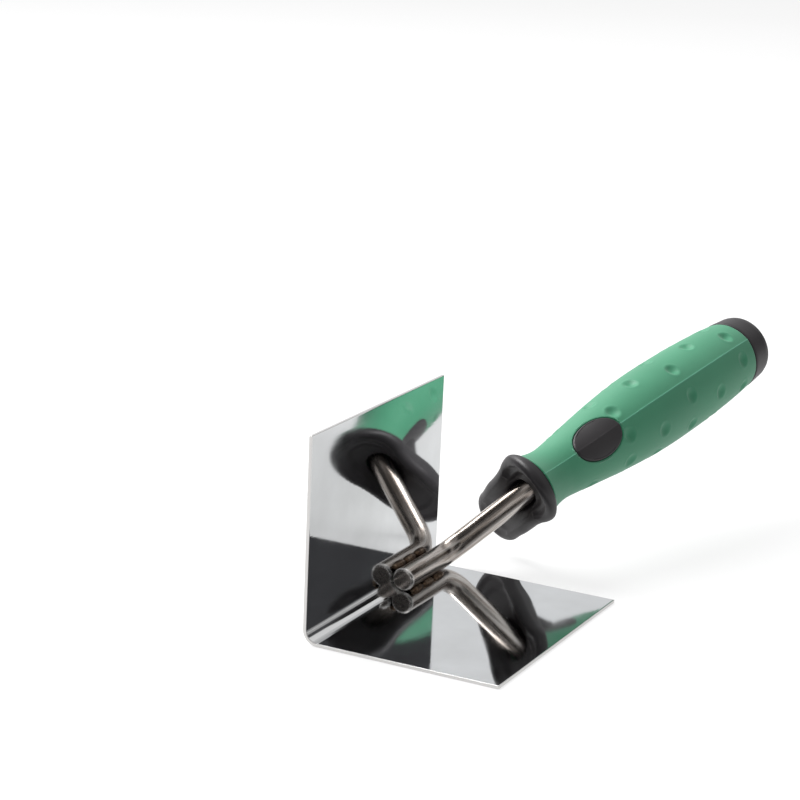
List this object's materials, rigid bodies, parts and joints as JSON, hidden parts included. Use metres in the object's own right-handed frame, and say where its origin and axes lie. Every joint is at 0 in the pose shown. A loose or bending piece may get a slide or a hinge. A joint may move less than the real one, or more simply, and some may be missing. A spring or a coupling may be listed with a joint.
{
  "type": "inside corner trowel",
  "caption": "Plasterer's inside corner trowel: folded 90 degree steel blade, bent round tang welded in its valley, soft-grip handle with finger guard.",
  "frame": {"origin": "toe end of the corner line, where the planes of the two working faces meet", "axes": "+X along the corner line from toe to handle, -Z the lower wing's working normal, +Y the upper wing's working normal; the handle leans back along X over the bisector of -Y and +Z"},
  "size_m": [0.2045, 0.0622, 0.0622],
  "materials": {
    "blade_steel": "mirror polished stainless sheet",
    "tang_steel": "drawn bar, heat tinted at the welds",
    "weld_metal": "rough bead, straw to brown tint",
    "core_plastic": "fine satin moulding",
    "grip_rubber": "matt thermoplastic rubber"
  },
  "bodies": {
    "root": {"blade": "blade_steel", "tang": "tang_steel", "weld_lower": "weld_metal", "weld_upper": "weld_metal", "handle_core": "core_plastic", "soft_grip": "grip_rubber", "end_cap": "core_plastic"}
  },
  "joints": []
}
